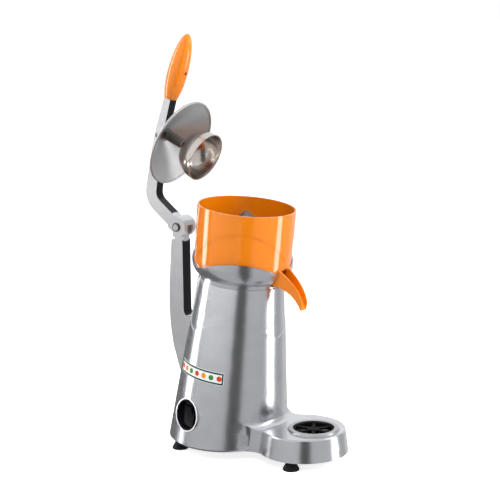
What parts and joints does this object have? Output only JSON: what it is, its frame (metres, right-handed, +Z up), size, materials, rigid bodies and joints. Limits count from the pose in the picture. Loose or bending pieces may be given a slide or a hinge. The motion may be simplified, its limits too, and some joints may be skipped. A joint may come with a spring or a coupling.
{
  "type": "electric citrus press",
  "caption": "Tall lever-operated electric citrus press: leaning cast body on feet, plastic juice bowl with spout, driven reamer, and a lever that lowers a press cup and splash disc.",
  "frame": {"origin": "centre of the object's box on the table plane", "axes": "+Z up, -Y towards the front with the spout, +X to the right when seen from the front"},
  "size_m": [0.1863, 0.3532, 0.6372],
  "materials": {
    "cast_aluminium": "brushed and polished casting",
    "steel": "polished stainless steel",
    "orange_plastic": "glossy moulded",
    "black_rubber": "matt",
    "black_plastic": "satin",
    "motor_iron": "laminated",
    "copper": "enamelled wire",
    "bronze": "machined",
    "white_plastic": "satin",
    "label": "printed film"
  },
  "bodies": {
    "root": {"body_casing": "cast_aluminium", "lever_post": "cast_aluminium", "base_plate": "steel", "foot_1": "black_rubber", "foot_2": "black_rubber", "foot_3": "black_rubber", "foot_4": "black_rubber", "foot_screws": "steel", "post_screws": "steel", "drip_tray": "cast_aluminium", "drip_grille": "black_plastic", "bowl": "orange_plastic", "strainer": "steel", "shaft_seal": "black_rubber", "upper_bearing": "steel", "lower_bearing": "steel", "motor_upper_bracket": "cast_aluminium", "motor_lower_bracket": "cast_aluminium", "stator": "motor_iron", "windings": "copper", "motor_bolts": "steel", "capacitor": "white_plastic", "capacitor_strap": "steel", "terminal_block": "white_plastic", "switch_housing": "black_plastic", "cable_gland": "black_plastic", "gland_nut": "black_plastic", "label_plate": "label", "hinge_pin": "steel", "pin_clips": "steel"},
    "lever": {"lever_arm": "cast_aluminium", "hinge_bushes": "bronze", "handle_grip": "orange_plastic", "handle_stud": "steel", "handle_screw": "steel", "press_disc": "steel", "cup_stem": "steel", "press_cup": "steel", "cup_screw": "steel"},
    "spindle": {"drive_shaft": "steel", "rotor": "motor_iron", "reamer": "steel"},
    "rocker": {"rocker": "black_plastic"}
  },
  "joints": [
    {"name": "lever_swing", "type": "hinge", "parent": "root", "child": "lever", "pos_m": [0, 0.1139, 0.3392], "axis": [1, 0, 0], "range_deg": [0, 65.5]},
    {"name": "reamer_spin", "type": "hinge", "parent": "root", "child": "spindle", "pos_m": [0, -0.0101, 0.38], "axis": [0, -0.1063, 0.9943], "continuous": true},
    {"name": "rocker_tilt", "type": "hinge", "parent": "root", "child": "rocker", "pos_m": [-0.07433, 0.04519, 0.06314], "axis": [0.2756, 0.9558, 0.1021], "range_deg": [0, 20]}
  ]
}
